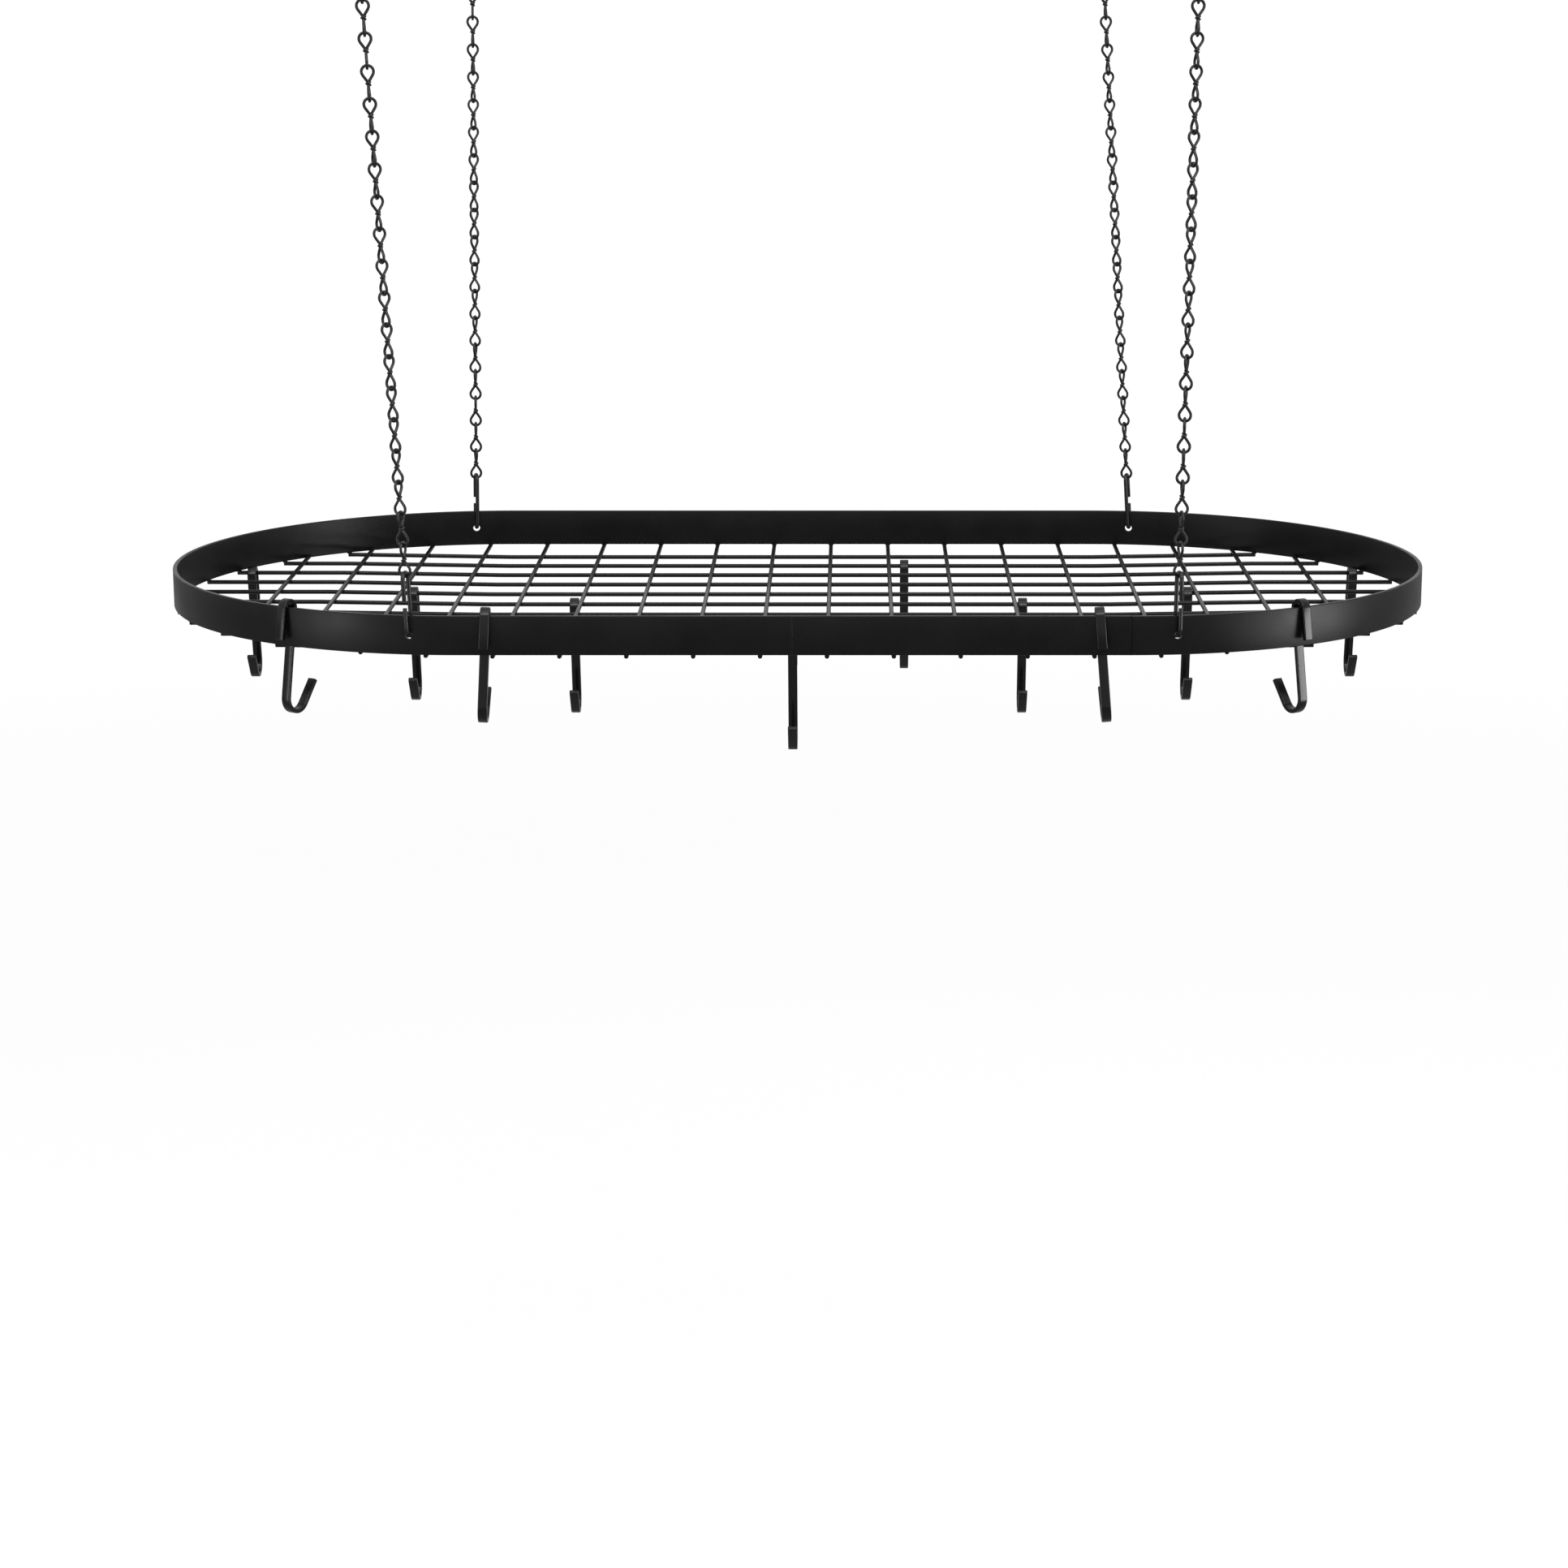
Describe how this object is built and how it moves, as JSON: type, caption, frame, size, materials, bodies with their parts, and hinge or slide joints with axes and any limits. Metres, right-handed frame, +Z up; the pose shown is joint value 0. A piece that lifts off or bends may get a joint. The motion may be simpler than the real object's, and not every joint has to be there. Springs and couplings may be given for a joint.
{
  "type": "hanging pot rack",
  "caption": "Oval ceiling-hung pot rack: a flat-bar band with a welded wire grid, hung on jack chains from screw hooks, with S-hooks on the grid and on the band",
  "frame": {"origin": "In the plane of the ceiling, above the middle of the oval band.", "axes": "+X runs along the rack to the right as seen in the picture, +Y points away from the viewer, +Z points up. The rack hangs below z = 0."},
  "size_m": [0.9138, 0.4722, 0.5961],
  "materials": {
    "frame": "satin black powder coat",
    "grid": "satin black powder coat",
    "chain": "satin black powder coat",
    "ceiling_hooks": "satin black powder coat",
    "pot_hooks": "semi-gloss black powder coat"
  },
  "bodies": {
    "ceiling": {"ceiling_hook_front_left": "ceiling_hooks", "ceiling_hook_front_right": "ceiling_hooks", "ceiling_hook_rear_left": "ceiling_hooks", "ceiling_hook_rear_right": "ceiling_hooks"},
    "chain_front_left": {"chain_front_left": "chain", "connector_front_left": "chain"},
    "chain_front_right": {"chain_front_right": "chain", "connector_front_right": "chain"},
    "chain_rear_left": {"chain_rear_left": "chain", "connector_rear_left": "chain"},
    "chain_rear_right": {"chain_rear_right": "chain", "connector_rear_right": "chain"},
    "rack": {"band": "frame", "long_wire_01": "grid", "long_wire_02": "grid", "long_wire_03": "grid", "long_wire_04": "grid", "long_wire_05": "grid", "long_wire_06": "grid", "long_wire_07": "grid", "long_wire_08": "grid", "long_wire_09": "grid", "long_wire_10": "grid", "cross_wire_01": "grid", "cross_wire_02": "grid", "cross_wire_03": "grid", "cross_wire_04": "grid", "cross_wire_05": "grid", "cross_wire_06": "grid", "cross_wire_07": "grid", "cross_wire_08": "grid", "cross_wire_09": "grid", "cross_wire_10": "grid", "cross_wire_11": "grid", "cross_wire_12": "grid", "cross_wire_13": "grid", "cross_wire_14": "grid", "cross_wire_15": "grid", "cross_wire_16": "grid", "cross_wire_17": "grid", "cross_wire_18": "grid"},
    "wire_hook_01": {"wire_hook_01": "pot_hooks"},
    "wire_hook_02": {"wire_hook_02": "pot_hooks"},
    "wire_hook_03": {"wire_hook_03": "pot_hooks"},
    "wire_hook_04": {"wire_hook_04": "pot_hooks"},
    "wire_hook_05": {"wire_hook_05": "pot_hooks"},
    "wire_hook_06": {"wire_hook_06": "pot_hooks"},
    "wire_hook_07": {"wire_hook_07": "pot_hooks"},
    "wire_hook_08": {"wire_hook_08": "pot_hooks"},
    "rim_hook_left_end": {"rim_hook_left_end": "pot_hooks"},
    "rim_hook_left": {"rim_hook_left": "pot_hooks"},
    "rim_hook_right": {"rim_hook_right": "pot_hooks"},
    "rim_hook_right_end": {"rim_hook_right_end": "pot_hooks"}
  },
  "joints": [
    {"name": "swing_front_left", "type": "hinge", "parent": "ceiling", "child": "chain_front_left", "pos_m": [-0.2795, -0.2248, -0.022], "axis": [1, 0, 0], "range_deg": [-10, 10]},
    {"name": "swing_front_right", "type": "hinge", "parent": "ceiling", "child": "chain_front_right", "pos_m": [0.265, -0.2248, -0.022], "axis": [1, 0, 0], "range_deg": [-10, 10]},
    {"name": "swing_rear_left", "type": "hinge", "parent": "ceiling", "child": "chain_rear_left", "pos_m": [-0.253, 0.2248, -0.022], "axis": [1, 0, 0], "range_deg": [-10, 10]},
    {"name": "swing_rear_right", "type": "hinge", "parent": "ceiling", "child": "chain_rear_right", "pos_m": [0.233, 0.2248, -0.022], "axis": [1, 0, 0], "range_deg": [-10, 10]},
    {"name": "rack_level", "type": "hinge", "parent": "chain_front_left", "child": "rack", "pos_m": [-0.26, -0.2248, -0.46355], "axis": [1, 0, 0], "range_deg": [-10, 10]},
    {"name": "wire_hook_01_swing", "type": "hinge", "parent": "rack", "child": "wire_hook_01", "pos_m": [-0.4195, 0.1025, -0.48355], "axis": [1, 0, 0], "range_deg": [-30, 30]},
    {"name": "wire_hook_02_swing", "type": "hinge", "parent": "rack", "child": "wire_hook_02", "pos_m": [-0.2865, 0.0205, -0.48454], "axis": [1, 0, 0], "range_deg": [-30, 30]},
    {"name": "wire_hook_03_swing", "type": "hinge", "parent": "rack", "child": "wire_hook_03", "pos_m": [-0.1638, -0.0205, -0.48545], "axis": [1, 0, 0], "range_deg": [-30, 30]},
    {"name": "wire_hook_04_swing", "type": "hinge", "parent": "rack", "child": "wire_hook_04", "pos_m": [-0.002, -0.1435, -0.48545], "axis": [1, 0, 0], "range_deg": [-30, 30]},
    {"name": "wire_hook_05_swing", "type": "hinge", "parent": "rack", "child": "wire_hook_05", "pos_m": [0.08, 0.1435, -0.48545], "axis": [1, 0, 0], "range_deg": [-30, 30]},
    {"name": "wire_hook_06_swing", "type": "hinge", "parent": "rack", "child": "wire_hook_06", "pos_m": [0.1645, -0.0205, -0.48545], "axis": [1, 0, 0], "range_deg": [-30, 30]},
    {"name": "wire_hook_07_swing", "type": "hinge", "parent": "rack", "child": "wire_hook_07", "pos_m": [0.289, 0.0205, -0.4845], "axis": [1, 0, 0], "range_deg": [-30, 30]},
    {"name": "wire_hook_08_swing", "type": "hinge", "parent": "rack", "child": "wire_hook_08", "pos_m": [0.4225, 0.1025, -0.48355], "axis": [1, 0, 0], "range_deg": [-30, 12]},
    {"name": "rim_hook_left_end_rock", "type": "hinge", "parent": "rack", "child": "rim_hook_left_end", "pos_m": [-0.34891, -0.1942, -0.45515], "axis": [0.8499, -0.527, 0], "range_deg": [0, 3]},
    {"name": "rim_hook_left_slide", "type": "slide", "parent": "rack", "child": "rim_hook_left", "axis": [-1, 0, 0], "range_m": [0, 0.016]},
    {"name": "rim_hook_right_slide", "type": "slide", "parent": "rack", "child": "rim_hook_right", "axis": [1, 0, 0], "range_m": [0, 0.016]},
    {"name": "rim_hook_right_end_rock", "type": "hinge", "parent": "rack", "child": "rim_hook_right_end", "pos_m": [0.34891, -0.1942, -0.45515], "axis": [0.8499, 0.527, 0], "range_deg": [0, 3]}
  ],
  "couplings": [
    {"joint": "swing_front_right", "follows": "swing_front_left", "ratio": 1},
    {"joint": "swing_rear_left", "follows": "swing_front_left", "ratio": 1},
    {"joint": "swing_rear_right", "follows": "swing_front_left", "ratio": 1},
    {"joint": "rack_level", "follows": "swing_front_left", "ratio": -1}
  ]
}
